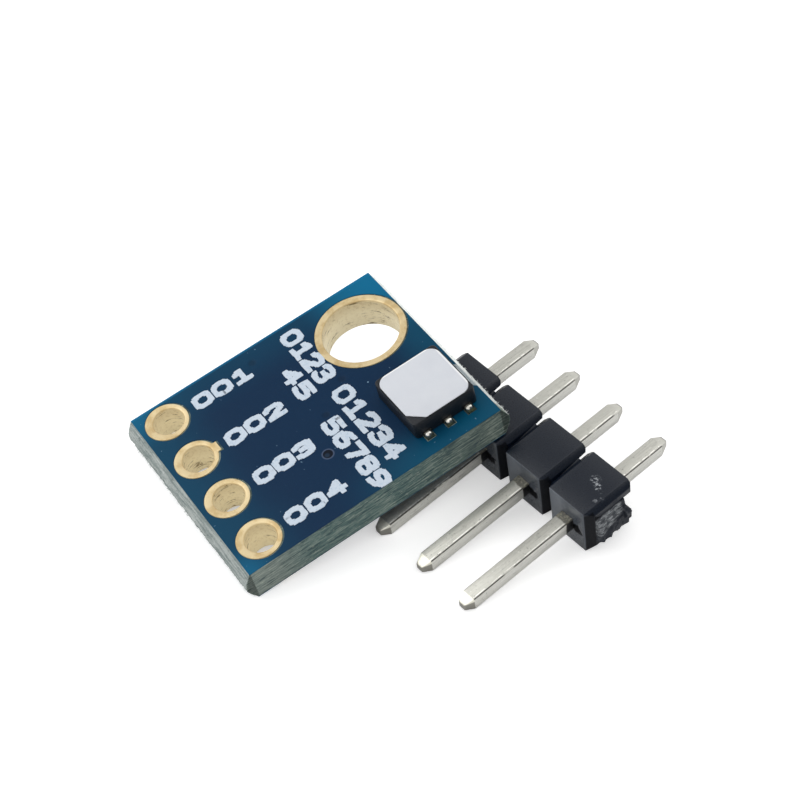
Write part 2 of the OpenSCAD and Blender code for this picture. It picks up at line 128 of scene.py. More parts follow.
# a material whose patterns lie in the millimetres of the board or of the header
class Look(Graph):
    def __init__(self, name, fixed=None, place=None):
        self.material = bpy.data.materials.new(name)
        self.material.use_nodes = True
        super().__init__(self.material.node_tree)
        self.shader = self.tree.nodes["Principled BSDF"]
        for socket, value in (fixed or {}).items():
            self.shader.inputs[socket].default_value = value
        back = (place or Matrix.Identity(4)).inverted()
        spot = self.node("ShaderNodeTexCoord", out=3)
        turned = {"Rotation": back.to_euler("XYZ"), "Location": back.to_translation()}
        self.at = self.node("ShaderNodeMapping", {}, {"Vector": spot, "Scale": (1 / mm,) * 3, **turned})
        self.x = self.node("ShaderNodeSeparateXYZ", {}, {0: self.at})
        self.y, self.z = self.x.other("Y"), self.x.other("Z")

    def noise(self, scale, detail=3.0, rough=0.55, squeeze=(1, 1, 1), wobble=0.0):
        along = self.node("ShaderNodeVectorMath", {"operation": "MULTIPLY"}, {0: self.at, 1: squeeze})
        return self.node("ShaderNodeTexNoise", {}, {
            "Vector": along, "Scale": scale, "Detail": detail, "Roughness": rough, "Distortion": wobble})

    def near(self, x, y, radius, soft):
        return self.step(self.distance(self.x - x, self.y - y), radius + soft, radius)

    def fromMiddle(self):
        return self.math("MODULO", self.x + header["pitch"] / 2, header["pitch"]) - header["pitch"] / 2

    def mix(self, factor, one, other):
        one, other = (hue(colour) if isinstance(colour, str) else colour for colour in (one, other))
        return self.node("ShaderNodeMix", {"data_type": "RGBA"}, {0: factor, 6: one, 7: other}, out=2)

    def feed(self, socket, wire):
        self.tree.links.new(wire.socket, self.shader.inputs[socket])

    # mixes in a dark, dull shader, used to paint shade
    def dull(self, factor, colour):
        surface = {"Base Color": hue(colour), "Roughness": 0.6, "Specular IOR Level": 0.06}
        shade = self.node("ShaderNodeBsdfPrincipled", {}, surface)
        plain = Wire(self, self.shader.outputs[0])
        both = self.node("ShaderNodeMixShader", {}, {0: factor, 1: plain, 2: shade})
        self.plug(both, "Material Output", "Surface")

    def bump(self, height, depth, strength=1.0):
        relief = {"Height": height, "Distance": depth * mm, "Strength": strength}
        self.feed("Normal", self.node("ShaderNodeBump", {}, relief))


maskValues = {
    "navy": "052a49", "teal": "004c69", "corner": "006a93", "bright": "0a78a8", "grain": "25658d",
    "via": (2.115, 5.511), "hole": "050812", "holeRim": "6a7690", "holeSheen": "1d3248",
    "faintVias": [(-4.128, 5.579), (-0.77, 8.04), (0.376, 6.514)], "faint": "0a1c2c",
    "speck": (0.11, 8.78), "dust": "86a9c4", "fibre": "8d9ba0", "fibreLight": "cdd6d9", "roughness": 0.3}


def maskLook():
    look = Look("solderMask", {"Specular IOR Level": 0.14}, boardPlace)
    cloud = look.noise(0.45, 3)
    grain = look.noise(26, 4, 0.7)
    padEnd = look.step(look.y + cloud * 1.5, 4.2, 0.4)
    backCorner = look.near(-4.7, 12.1, 0.3, 3.6)
    padCorners = look.near(-4.9, 0.0, 0.0, 2.0) + look.near(4.9, 0.0, 0.0, 1.6)
    sensorSide = look.step(look.x + cloud * 1.2, 3.4, 5.6) * look.step(look.y, 4.0, 9.0) * 0.9
    leftSide = look.step(look.x, -2.6, -5.0) * 0.4
    backEdge = look.step(look.y + cloud, 10.6, 12.4) * 0.7
    teal = look.upToOne(padEnd * 0.6 + backCorner + sensorSide + leftSide + backEdge)
    colour = look.mix(teal, maskValues["navy"], maskValues["teal"])
    colour = look.mix(look.upToOne(backCorner + padCorners * 0.6), colour, maskValues["corner"])
    rim = look.step(look.x, -4.82, -4.97)
    colour = look.mix(rim * 0.7, colour, maskValues["bright"])
    colour = look.mix(look.step(grain, 0.56, 0.78) * 0.2, colour, maskValues["grain"])
    # the via's hole is painted: a dark disc of painted shade, a pale ring round it, and a small spot of
    # painted sheen inside
    x, y = maskValues["via"]
    hole = look.near(x, y, 0.2, 0.02)
    colour = look.mix((look.near(x, y, 0.25, 0.04) - hole) * 0.4, colour, maskValues["holeRim"])
    colour = look.mix(hole * 0.9, colour, maskValues["hole"])
    colour = look.mix(look.near(x + 0.035, y - 0.061, 0.06, 0.09) * 0.8, colour, maskValues["holeSheen"])
    one, two, three = (look.near(*via, 0.08, 0.16) for via in maskValues["faintVias"])
    faint = one + two + three
    colour = look.mix(faint * 0.35, colour, maskValues["faint"])
    dust = look.near(*maskValues["speck"], 0.02, 0.03) + look.step(look.noise(5, 2, 0.5), 0.735, 0.76) * 0.6
    colour = look.mix(look.upToOne(dust) * 0.8, colour, maskValues["dust"])
    strands = look.noise(1.0, 4, 0.75, (1.6, 26, 2))
    wavy = look.y + (look.noise(2.4, 3) - 0.5) * 0.12
    slant = look.x - look.y                         # both ends of the bare strip are slanted
    chipped = look.step(slant, -10.26, -10.22) * look.step(slant, -8.75, -8.8)
    chipped = look.step(wavy, 11.965, 11.985) * chipped
    fibre = look.mix(look.step(strands, 0.4, 0.6), maskValues["fibre"], maskValues["fibreLight"])
    look.feed("Base Color", look.mix(chipped, colour, fibre))
    look.feed("Roughness", maskValues["roughness"] + look.noise(3, 3) * 0.16 + chipped * 0.3)
    look.bump(look.noise(30, 3) * 0.3 - hole * 1.5 - faint * 1.0 + chipped * strands * 2.0, 0.02, 0.5)
    return look.material


coreValues = {"near": "838e88", "middle": "5a726f", "far": "5d6b66", "streak": "a9b3a6", "gap": "2b3f45",
              "snapped": "8b9694", "torn": "b4bbb8", "shade": "66716f", "white": "eef1ee", "grey": "c3cac8",
              "fleck": "5f6e70", "thread": "d5dad8", "rim": "b4bda8"}


def coreLook():
    look = Look("glassFibreCore", {"Specular IOR Level": 0.2, "Emission Strength": 1.0}, boardPlace)
    fibres = look.noise(1.0, 4, 0.7, (1.8, 0.9, 12), 0.08)
    layers = look.noise(1.0, 3, 0.6, (0.5, 0.4, 9))
    flecks = look.noise(1.0, 3, 0.75, (8, 4.5, 17))
    side = look.mix(look.step(look.y, 0.6, 3.2), coreValues["near"], coreValues["middle"])
    side = look.mix(look.step(look.y, 7.0, 11.5), side, coreValues["far"])
    side = look.mix(look.step(fibres, 0.5, 0.6) * 0.7, side, coreValues["gap"])
    side = look.mix(look.step(fibres, 0.47, 0.38) * 0.55, side, coreValues["streak"])
    side = look.mix(look.step(flecks, 0.57, 0.66) * 0.6, side, coreValues["streak"])
    ends = look.mix(look.step(layers, 0.42, 0.58), coreValues["snapped"], coreValues["torn"])
    ends = look.mix(look.step(look.z, 0.9, 0.5) * 0.2, ends, coreValues["shade"])
    ends = look.mix(look.step(flecks, 0.55, 0.66) * 0.6, ends, coreValues["fleck"])
    ends = look.mix(look.step(fibres, 0.54, 0.64) * 0.35, ends, coreValues["thread"])
    far = look.mix(look.step(fibres, 0.48, 0.62), coreValues["white"], coreValues["grey"])
    corner = look.step(look.x, 4.2, 4.8) * look.step(look.y, 12.35, 12.3)
    far = look.mix(corner, far, look.mix(0.35, side, coreValues["rim"]))
    inner = look.step(look.x, 4.972, 4.955)
    snapped = look.step(look.y, 0.03, -0.03) * inner
    beyond = look.step(look.y, 12.08, 12.13)
    # painted glow: part of the far end's cross-section emits its own colour, to look brightly lit
    paintedGlow = beyond * look.step(look.x, 2.4, 1.5) * look.step(look.z, 0.93, 1.0)
    colour = look.mix(beyond * inner, look.mix(snapped, side, ends), far)
    look.feed("Base Color", colour)
    look.feed("Emission Color", look.mix(paintedGlow * 0.3, "000000", colour))
    look.feed("Roughness", 0.55 + flecks * 0.3)
    look.bump(fibres + flecks * 0.8, 0.035, 0.8)
    return look.material


goldValues = {"bright": "e6d2a6", "dull": "cdb381", "barrel": "dcd2b4", "shade": "a8946a",
              "scratch": "5f4d2c", "roughness": 0.4, "lit": 0.3}


def goldLook():
    look = Look("goldPlating", {"Specular IOR Level": 0.4, "Emission Strength": 1.0}, boardPlace)
    patch = look.noise(1.4, 4, 0.6)
    lines = look.noise(1.0, 3, 0.7, (1.1, 1.1, 10), 0.3)
    pits = look.noise(8, 4, 0.75)
    inside = look.step(look.z, 1.575, 1.53) * look.step(look.z, 0.0, 0.04)
    colour = look.mix(look.step(patch, 0.42, 0.68), goldValues["bright"], goldValues["dull"])
    # painted shade: the barrel is darker towards its top, under the ring's edge; the pits are the plating's
    # own
    worn = look.step(look.z, 0.75, 1.5) * 0.45 + look.step(pits, 0.48, 0.7) * 0.35
    barrel = look.mix(worn, goldValues["barrel"], goldValues["shade"])
    scratched = look.step(lines, 0.56, 0.62) * look.step(patch, 0.46, 0.56) * 0.85
    barrel = look.mix(scratched, barrel, goldValues["scratch"])
    colour = look.mix(inside, colour, barrel)
    look.feed("Base Color", colour)
    # painted glow: the barrel emits part of its colour, to look lit
    look.feed("Emission Color", look.mix(inside * goldValues["lit"], "000000", colour))
    look.feed("Metallic", 0.6 - inside * 0.5)
    look.feed("Roughness", goldValues["roughness"] + patch * 0.15)
    look.bump(lines * inside + look.noise(18, 3) * 0.35, 0.02, 0.5)
    return look.material


sensorPadValues = {"dark": "1b3036", "pale": "4b5130", "roughness": 0.35}


def sensorPadLook():
    look = Look("dullPad", {"Metallic": 0.4}, boardPlace)
    spots = look.noise(9, 4, 0.7)
    colour = look.mix(look.step(spots, 0.42, 0.66), sensorPadValues["dark"], sensorPadValues["pale"])
    look.feed("Base Color", colour)
    look.feed("Roughness", sensorPadValues["roughness"] + spots * 0.3)
    look.bump(spots, 0.02, 0.5)
    return look.material


solderValues = {"dull": "cfccc2", "bright": "f7f5ee", "roughness": 0.12}


def solderLook():
    look = Look("brightSolder", {"Metallic": 1.0}, boardPlace)
    lumps = look.noise(5, 3, 0.6)
    colour = look.mix(look.step(lumps, 0.35, 0.7), solderValues["dull"], solderValues["bright"])
    look.feed("Base Color", colour)
    look.feed("Roughness", solderValues["roughness"] + look.noise(9, 3) * 0.2)
    look.bump(lumps, 0.02, 0.5)
    return look.material


def tinLook(name, dark, pale):
    look = Look(name, {"Metallic": 0.9}, boardPlace)
    spots = look.noise(12, 4, 0.65)
    look.feed("Base Color", look.mix(look.step(spots, 0.35, 0.7), dark, pale))
    look.feed("Roughness", 0.3 + spots * 0.25)
    look.bump(spots, 0.02, 0.5)
    return look.material


def mouldingLook(name, dark, pale, roughness):
    look = Look(name, {"Specular IOR Level": 0.35}, boardPlace)
    fine = look.noise(34, 4, 0.65)
    broad = look.noise(1.8, 3)
    colour = look.mix(look.step(fine, 0.5, 0.78) * 0.5, dark, pale)
    look.feed("Base Color", look.mix(broad * 0.25, colour, pale))
    look.feed("Roughness", roughness + fine * 0.2)
    look.bump(fine, 0.012, 0.6)
    return look.material


filterValues = {"white": "e2e5ea", "shade": "d2d6de", "pore": "c3c8d2", "rim": "fafbfc", "roughness": 0.5}


def filterLook():
    look = Look("whiteMembrane", {"Specular IOR Level": 0.35}, boardPlace)
    fine = look.noise(40, 4, 0.6)
    colour = look.mix(look.noise(0.8, 2), filterValues["shade"], filterValues["white"])
    colour = look.mix(look.step(fine, 0.55, 0.8) * 0.35, colour, filterValues["pore"])
    # painted highlight: a near-white rim along two edges of the cover
    rim = look.most(look.step(look.x, 1.14, 1.1), look.step(look.y, 11.53, 11.57))
    look.feed("Base Color", look.mix(rim, colour, filterValues["rim"]))
    look.feed("Roughness", filterValues["roughness"] + fine * 0.2)
    look.bump(fine, 0.01, 0.5)
    return look.material


def ceramicLook(name, dark, pale):
    look = Look(name, {"Specular IOR Level": 0.4}, boardPlace)
    spots = look.noise(20, 3, 0.6)
    look.feed("Base Color", look.mix(look.step(spots, 0.4, 0.7), dark, pale))
    look.feed("Roughness", 0.35 + spots * 0.2)
    look.bump(spots, 0.01, 0.5)
    return look.material


headerValues = {
    "plastic": "0a1422", "worn": "121c2a", "torn": "8d9194", "crack": "565a5e", "sheen": "6a7078",
    "scuff": "ccd1d6", "paintedShade": "08090d", "roughness": 0.2,
    "scuffs": [(7.7, 0.3, 0.1, 0.2), (8.02, 0.13, 0.075, 0.15), (8.28, 0.07, 0.05, 0.1),
               (8.42, -0.42, 0.04, 0.08), (8.56, -0.18, 0.04, 0.08)]}   # x, y, radius, soft edge


def headerLook():
    look = Look("headerPlastic", {"Specular IOR Level": 0.5}, headerPlace)
    fine = look.noise(22, 4, 0.7)
    flow = look.noise(2.2, 3, 0.6, (1, 0.5, 1))
    worn = look.step(fine, 0.5, 0.8) * 0.5 + flow * 0.2
    colour = look.mix(worn, headerValues["plastic"], headerValues["worn"])
    across = look.fromMiddle()
    nearFace = look.step(look.y, -1.2, -1.245)
    sheen = nearFace * look.step(across + flow * 0.5, 0.4, -0.3)
    colour = look.mix(sheen * 0.45 + nearFace * 0.45, colour, headerValues["sheen"])
    # painted shade: a dark patch beside each pin on the near face stands for a hollow in shade
    besidePin = look.distance(across - 0.52, look.z - 1.12)
    paintedShade = nearFace * look.step(besidePin + (look.noise(4, 4, 0.7) - 0.5) * 0.9, 0.3, 0.25)
    ragged = look.noise(4.5, 5, 0.75, (1, 0.6, 1.4))
    strands = look.noise(1.0, 5, 0.8, (7, 3.2, 11), 0.5)
    torn = look.step(look.x, header["tornFrom"] - 0.03, header["tornFrom"] + 0.02)
    split = look.z - look.y * 0.365 + (ragged - 0.5) * 0.7
    pale = torn * look.step(split, 1.22, 1.32) * look.step(look.z, 1.99, 1.93)
    pale = pale * look.step(look.y, 0.6, 0.45)
    colour = look.mix(pale * (0.15 + look.step(strands, 0.46, 0.58) * 0.85), colour, headerValues["torn"])
    colour = look.mix((torn - pale) * look.step(strands, 0.56, 0.64) * 0.6, colour, headerValues["crack"])
    marks = 0.0
    for scuff in headerValues["scuffs"]:
        marks = look.near(*scuff) + marks
    rubbed = look.step(look.noise(6.5, 5, 0.85), 0.53, 0.6)
    scuffed = look.upToOne(marks * look.step(look.z, 2.3, 2.45) * rubbed)
    look.feed("Base Color", look.mix(scuffed * 0.9, colour, headerValues["scuff"]))
    look.feed("Roughness", headerValues["roughness"] + fine * 0.18 + torn * 0.3 - nearFace * 0.12)
    look.bump(fine * 0.4 + flow * 0.3 + torn * ragged * 2.0, 0.03, 0.6)
    # painted shade: the near chamfers and the walls between the blocks get the dark, dull shader
    cheek = look.step(look.y, -1.236, -1.2) * look.step(look.y, -0.8, -0.86)
    cheek = cheek * look.step(across, 0.4, 0.7) * look.step(look.z, 2.42, 2.36)
    wall = look.step(across, 1.12, 1.18) * look.step(look.z, 2.02, 1.95)
    look.dull(look.most(look.most(cheek, wall) * (1 - torn) * 0.8, paintedShade), headerValues["paintedShade"])
    return look.material


pinValues = {
    "pale": "d3d2c9", "dull": "aaa9a1", "dark": "6b6963", "edge": "1f1d1a", "side": "eeede6",
    "gleam": "fffdf6", "speck": "f4f3ee", "pit": "3a3834", "tipTopHighlight": "fbf9ea", "tipSideShade": "97958d",
    "farTip": "c9c8c0", "farEnd": "35332f", "rootShade": "4a4840", "rootShadePale": "8a8874",
    "shade": "0b0c0d", "roughness": 0.26}


def pinLook():
    look = Look("tinPlatedPin", {}, headerPlace)
    streaks = look.noise(1.0, 3, 0.7, (38, 0.7, 38))
    blotch = look.noise(1.0, 4, 0.65, (2.6, 1.2, 2.6))
    speck = look.noise(13, 3, 0.65)
    across = look.fromMiddle()
    upright = look.step(look.math("ABSOLUTE", look.z - header["pinHeight"]), 0.28, 0.31)
    sideFace = look.step(look.math("ABSOLUTE", across), 0.312, 0.318) * (1 - upright)
    # painted light: the pin's side faces are painted paler than its top
    colour = look.mix(sideFace, pinValues["pale"], pinValues["side"])
    colour = look.mix(look.step(streaks, 0.48, 0.62) * 0.45, colour, pinValues["dull"])
    colour = look.mix(look.step(blotch, 0.58, 0.72) * 0.25, colour, pinValues["dark"])
    colour = look.mix(look.step(speck, 0.62, 0.68) * 0.7, colour, pinValues["speck"])
    colour = look.mix(look.step(speck, 0.35, 0.3) * 0.85, colour, pinValues["pit"])
    dashes = look.step(look.noise(1.0, 3, 0.7, (5, 3, 5)), 0.42, 0.52)
    gleam = look.step(across, 0.19, 0.21) * look.step(across, 0.26, 0.24) * upright
    colour = look.mix(gleam * dashes, colour, pinValues["gleam"])
    broken = look.step(look.noise(1.0, 3, 0.6, (3, 1.4, 3)), 0.34, 0.46)
    # painted shade: broken dark lines along the edges of the pin's top face
    edges = look.most(look.step(across, 0.262, 0.285), look.step(across, -0.285, -0.305) * 0.75)
    colour = look.mix(edges * upright * broken * 0.88, colour, pinValues["edge"])
    nearTip = look.step(look.y, -6.56, -6.6)
    # painted highlight on the near tip's upper facet, painted shade on its lower facets
    tip = look.mix(look.step(look.z, 1.38, 1.46), pinValues["tipSideShade"], pinValues["tipTopHighlight"])
    colour = look.mix(nearTip, colour, tip)
    farTip = look.step(look.y, 3.82, 3.86) * look.step(blotch, 0.6, 0.5)
    colour = look.mix(farTip * 0.8, colour, pinValues["farTip"])
    colour = look.mix(look.step(look.y, 4.19, 4.22) * 0.85, colour, pinValues["farEnd"])
    # painted shade: where the pin enters its block it is darkened and made less metallic, and its side
    # faces are painted near black
    root = look.step(look.y + blotch * 0.15, -1.56, -1.49)      # where the pin leaves its block
    root = root * look.step(look.y, -1.1, -1.2)
    rootShade = look.mix(look.step(speck, 0.5, 0.62), pinValues["rootShade"], pinValues["rootShadePale"])
    colour = look.mix(root * 0.85, colour, rootShade)
    colour = look.mix(root * sideFace, colour, pinValues["shade"])
    look.feed("Base Color", colour)
    look.feed("Metallic", 0.75 - root * 0.75)
    look.feed("Roughness", pinValues["roughness"] + streaks * 0.16)
    look.bump(streaks + speck * 0.5, 0.015, 0.5)
    return look.material


inkValues = {"white": "cfdbe8", "thin": "8fb0cc", "roughness": 0.55}


def inkLook():
    look = Look("whiteInk", {"Specular IOR Level": 0.3}, boardPlace)
    thin = look.noise(9, 4, 0.7)
    colour = look.mix(look.step(thin, 0.5, 0.75) * 0.6, inkValues["white"], inkValues["thin"])
    look.feed("Base Color", colour)
    look.feed("Roughness", inkValues["roughness"] + thin * 0.2)
    look.bump(thin, 0.01, 0.5)
    return look.material


mask, core, gold, solder = maskLook(), coreLook(), goldLook(), solderLook()
membrane, plastic, pinMetal, ink = filterLook(), headerLook(), pinLook(), inkLook()
tin = tinLook("dullTin", "a9a79f", "d9d6cc")
leadTin = tinLook("leadTin", "4c4b47", "85837c")
packageBlack = mouldingLook("sensorMoulding", "0d1117", "222831", 0.3)
regulatorBlack = mouldingLook("regulatorMoulding", "15171a", "2c2e31", 0.45)
resistorGlaze = ceramicLook("resistorGlaze", "121316", "25272b")
capacitorClay = ceramicLook("capacitorCeramic", "8f6f4c", "b08f68")
finishes = {
    "substrate": core, "top_solder_mask": mask, "bottom_solder_mask": mask, "vias": mask,
    "mounting_ring": gold, "bottom_pads": gold, "sensor_pads": sensorPadLook(),
    "sensor_body": packageBlack, "sensor_cover": membrane, "sensor_leads": leadTin,
    "sensor_solder": solder, "regulator_solder": solder, "chip_solder": solder,
    "regulator_body": regulatorBlack, "regulator_leads": tin, "header_housing": plastic}
finishes.update({f"header_pad_{i}": gold for i in range(1, 5)})
finishes.update({f"header_pin_{i}": pinMetal for i in range(1, 5)})
for i in (1, 2):
    finishes.update({f"resistor_{i}_body": resistorGlaze, f"resistor_{i}_ends": tin,
                     f"capacitor_{i}_body": capacitorClay, f"capacitor_{i}_ends": tin})
for name, node in nodes.items():
    node.data.materials.clear()
    node.data.materials.append(finishes[name])
print("finishes:", len(bpy.data.materials))


# a tree of Geometry Nodes with named sizes, whose result is kept as a plain mesh
class Recipe(Graph):
    def __init__(self, name, sizes):
        super().__init__(bpy.data.node_groups.new(name, "GeometryNodeTree"))
        face = self.tree.interface
        face.new_socket("Geometry", in_out="INPUT", socket_type="NodeSocketGeometry")
        self.sockets = {}
        for label, value in sizes.items():
            kind = "NodeSocketInt" if isinstance(value, int) else "NodeSocketFloat"
            self.sockets[label] = face.new_socket(label, in_out="INPUT", socket_type=kind)
        face.new_socket("Geometry", in_out="OUTPUT", socket_type="NodeSocketGeometry")
        self.geometry = self.node("NodeGroupInput")
        self.size = {label: self.geometry.other(label) for label in sizes}
        self.sizes = sizes

    def randomVector(self, low, high):
        ends = {0: low, 1: high, "Seed": self.size["Seed"]}
        return self.node("FunctionNodeRandomValue", {"data_type": "FLOAT_VECTOR"}, ends)

    def randomNumber(self, low, high):
        ends = {2: low, 3: high, "Seed": self.size["Seed"]}
        return self.node("FunctionNodeRandomValue", {"data_type": "FLOAT"}, ends, out=1)

    def scaled(self, vector, factor):
        return self.node("ShaderNodeVectorMath", {"operation": "SCALE"}, {0: vector, "Scale": factor})

    def close(self, wire, material):
        solid = self.node("GeometryNodeRealizeInstances", {}, {0: wire})
        done = self.node("GeometryNodeSetMaterial", {}, {"Geometry": solid, "Material": material})
        self.node("NodeGroupOutput", {}, {0: done})

    def run(self, mesh, name):
        piece = bpy.data.objects.new(name, mesh)
        bpy.context.scene.collection.objects.link(piece)
        modifier = piece.modifiers.new(name, "NODES")
        modifier.node_group = self.tree
        for label, value in self.sizes.items():
            modifier[self.sockets[label].identifier] = value
        finished = piece.evaluated_get(bpy.context.evaluated_depsgraph_get())
        done = bpy.data.meshes.new_from_object(finished)
        piece.modifiers.clear()
        bpy.data.objects.remove(piece)
        shape = bmesh.new()
        shape.from_mesh(done)
        return shape


def pieceFrom(shape, name, material, standsFor=(), smoothAngle=40, flatOver=None):
    for face in shape.faces:
        longest = max(edge.calc_length() for edge in face.edges)
        face.smooth = flatOver is None or face.calc_area() < flatOver * mm * longest
    mesh = bpy.data.meshes.new(name)
    shape.to_mesh(mesh)
    shape.free()
    mesh.materials.clear()
    mesh.materials.append(material)
    mesh.set_sharp_from_angle(angle=math.radians(smoothAngle))
    piece = bpy.data.objects.new(name, mesh)
    bpy.context.scene.collection.objects.link(piece)
    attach(piece, "root")
    if standsFor:
        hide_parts(*standsFor)


def mergedCopy(nodeName, place):
    shape = bmesh.new()
    shape.from_mesh(nodes[nodeName].data)
    shape.transform(place.inverted() @ Matrix.Scale(1 / mm, 4))
    bmesh.ops.remove_doubles(shape, verts=shape.verts, dist=0.001)
    bmesh.ops.dissolve_limit(shape, angle_limit=math.radians(1), verts=shape.verts, edges=shape.edges)
    return shape


def roundEdges(shape, width, segments=2, over=30):
    sharp = [e for e in shape.edges if e.is_manifold and e.calc_face_angle(0) > math.radians(over)]
    bmesh.ops.bevel(shape, geom=sharp, offset=width, segments=segments, profile=0.5,
                    affect="EDGES", clamp_overlap=True)


def settle(shape, place):
    shape.transform(Matrix.Scale(mm, 4) @ place)
    for v in shape.verts:
        v.co.z = max(v.co.z, 0)                     # no fibre reaches below the floor
    return shape


pinCopy = {"edge": 0.025, "segments": 2}
for i in range(1, 5):
    shape = mergedCopy(f"header_pin_{i}", headerPlace)
    roundEdges(shape, pinCopy["edge"], pinCopy["segments"])
    pieceFrom(settle(shape, headerPlace), f"pin{i}", pinMetal, [f"header_pin_{i}"], 75, 0.06)
print("pins rounded")

housingCopy = {"edge": 0.03, "lipFlat": 0.8, "lipUnder": 1.85, "lipOver": 2.02, "lipBack": 0.67,
               "lipRise": 0.3, "lipEase": 0.3, "cuts": 5, "ragged": 0.06, "tornEase": 0.08,
               "flapBack": 0.45, "behindFlap": 0.08, "seed": 118}
shape = mergedCopy("header_housing", headerPlace)
roundEdges(shape, housingCopy["edge"])
for k in range(4):
    for side in (-1, 1):
        cut = Vector((header["pitch"] * k + side * housingCopy["lipFlat"], 0, 0))
        parts = shape.verts[:] + shape.edges[:] + shape.faces[:]
        bmesh.ops.bisect_plane(shape, geom=parts, plane_co=cut, plane_no=(1, 0, 0))
for v in shape.verts:                               # the lip rises at both walls of a block
    across = (v.co.x + header["pitch"] / 2) % header["pitch"] - header["pitch"] / 2
    away = abs(across) - housingCopy["lipFlat"]
    onLip = housingCopy["lipUnder"] < v.co.z < housingCopy["lipOver"] and v.co.y > housingCopy["lipBack"]
    if onLip and away > 0.001 and v.co.x < header["tornFrom"] - 0.05:
        v.co.z += min(1, away / housingCopy["lipEase"]) * housingCopy["lipRise"]
bmesh.ops.triangulate(shape, faces=shape.faces)
tornFaces = {f for f in shape.faces if f.calc_center_median().x > header["tornFrom"]}
edges = [e for e in shape.edges if tornFaces.intersection(e.link_faces)]       # always in the same order
bmesh.ops.subdivide_edges(shape, edges=edges, cuts=housingCopy["cuts"], use_grid_fill=True)
noise.seed_set(housingCopy["seed"])                 # the same torn relief on every run
for v in shape.verts:
    out = min(1, max(0, (v.co.x - header["tornFrom"]) / housingCopy["tornEase"]))
    out *= housingCopy["behindFlap"] if v.co.y > housingCopy["flapBack"] else 1
    if out > 0:
        rough = noise.noise_vector(v.co * 4.5) + 0.5 * noise.noise_vector(v.co * 13)
        v.co += housingCopy["ragged"] * out * rough
pieceFrom(settle(shape, headerPlace), "housing", plastic, ["header_housing"], 60, 0.12)
print("housing rounded and torn")

sensorCopy = {"bodyEdge": 0.03, "coverEdge": 0.03}
shape = mergedCopy("sensor_body", boardPlace)
roundEdges(shape, sensorCopy["bodyEdge"])
shape = settle(shape, boardPlace)
pieceFrom(shape, "sensorShell", packageBlack, ["sensor_body"], 60, 0.08)
shape = mergedCopy("sensor_cover", boardPlace)
roundEdges(shape, sensorCopy["coverEdge"])
shape = settle(shape, boardPlace)
pieceFrom(shape, "sensorMembrane", membrane, ["sensor_cover"], 60, 0.08)
print("sensor rounded")

ringValues = {"proud": 0.02, "shoulder": 0.07, "edge": 0.012, "plating": 0.05, "sides": 96,
              "padHole": 1.35, "padRing": 1.9, "drillSlip": 0.07, "mountHole": 3.37, "mountRing": 3.98}
stubSize = {"width": 0.52, "length": 0.13}


def platedRing(hole, ring, centre, slip=0.0, stub=None):
    low, high = -ringValues["proud"], board["top"] + ringValues["proud"]
    r, edge, wall = ringValues["shoulder"], ringValues["edge"], ringValues["plating"]
    bends = [math.radians(a) for a in (0, 22, 45, 68, 90)]
    under, over = board["skin"], board["top"] - board["skin"]
    outline = [("hole", wall, under), ("ring", 0, under), ("ring", 0, low + edge), ("ring", -edge, low)]
    outline += [("hole", r - r * math.sin(a), low + r - r * math.cos(a)) for a in bends]
    outline += [("hole", 0, board["top"] / 2)]
    outline += [("hole", r - r * math.cos(a), high - r + r * math.sin(a)) for a in bends]
    outline += [("ring", -edge, high), ("ring", 0, high - edge), ("ring", 0, over), ("hole", wall, over)]
    turns = [2 * math.pi * i / ringValues["sides"] for i in range(ringValues["sides"])]
    if stub:
        side, tip = stub["width"] / 2, ring / 2 + stub["length"]
        for across in (side, side * 0.999):
            for corner in (math.acos(across / (ring / 2)), math.atan2(tip, across)):
                turns += [corner, math.pi - corner]
    shape = bmesh.new()
    rings = []
    for turn in sorted(turns):
        reach = ring / 2
        if stub and abs(math.cos(turn)) * reach < stub["width"] / 2 and math.sin(turn) > 0:
            reach = max(reach, min(tip / math.sin(turn), side / max(abs(math.cos(turn)), 1e-6)))
        spots = []
        for start, more, z in outline:
            far, lift = (hole / 2 + more, slip) if start == "hole" else (reach + more, 0)
            x = centre[0] + far * math.cos(turn)
            y = centre[1] + lift + far * math.sin(turn)
            spots.append(shape.verts.new((x, y, z)))
        rings.append(spots)
    for here, there in zip(rings, rings[1:] + rings[:1]):
        for k in range(len(outline)):
            l = (k + 1) % len(outline)
            shape.faces.new((here[k], there[k], there[l], here[l]))
    bmesh.ops.recalc_face_normals(shape, faces=shape.faces)
    return shape


for k in range(4):
    centre = (board["padX"] - k * header["pitch"], board["padY"])
    stub = stubSize if k == 2 else None             # one ring has a stub, as in the photograph
    shape = platedRing(ringValues["padHole"], ringValues["padRing"], centre, ringValues["drillSlip"], stub)
    pieceFrom(settle(shape, boardPlace), f"padRing{k + 1}", gold, [f"header_pad_{k + 1}"])
shape = platedRing(ringValues["mountHole"], ringValues["mountRing"], board["mount"])
pieceFrom(settle(shape, boardPlace), "mountRing", gold, ["mounting_ring"])
print("plated rings turned")

ragValues = {"out": 0.3, "web": 0.3, "columns": 200, "rows": 14, "near": 0.07, "far": 0.035}


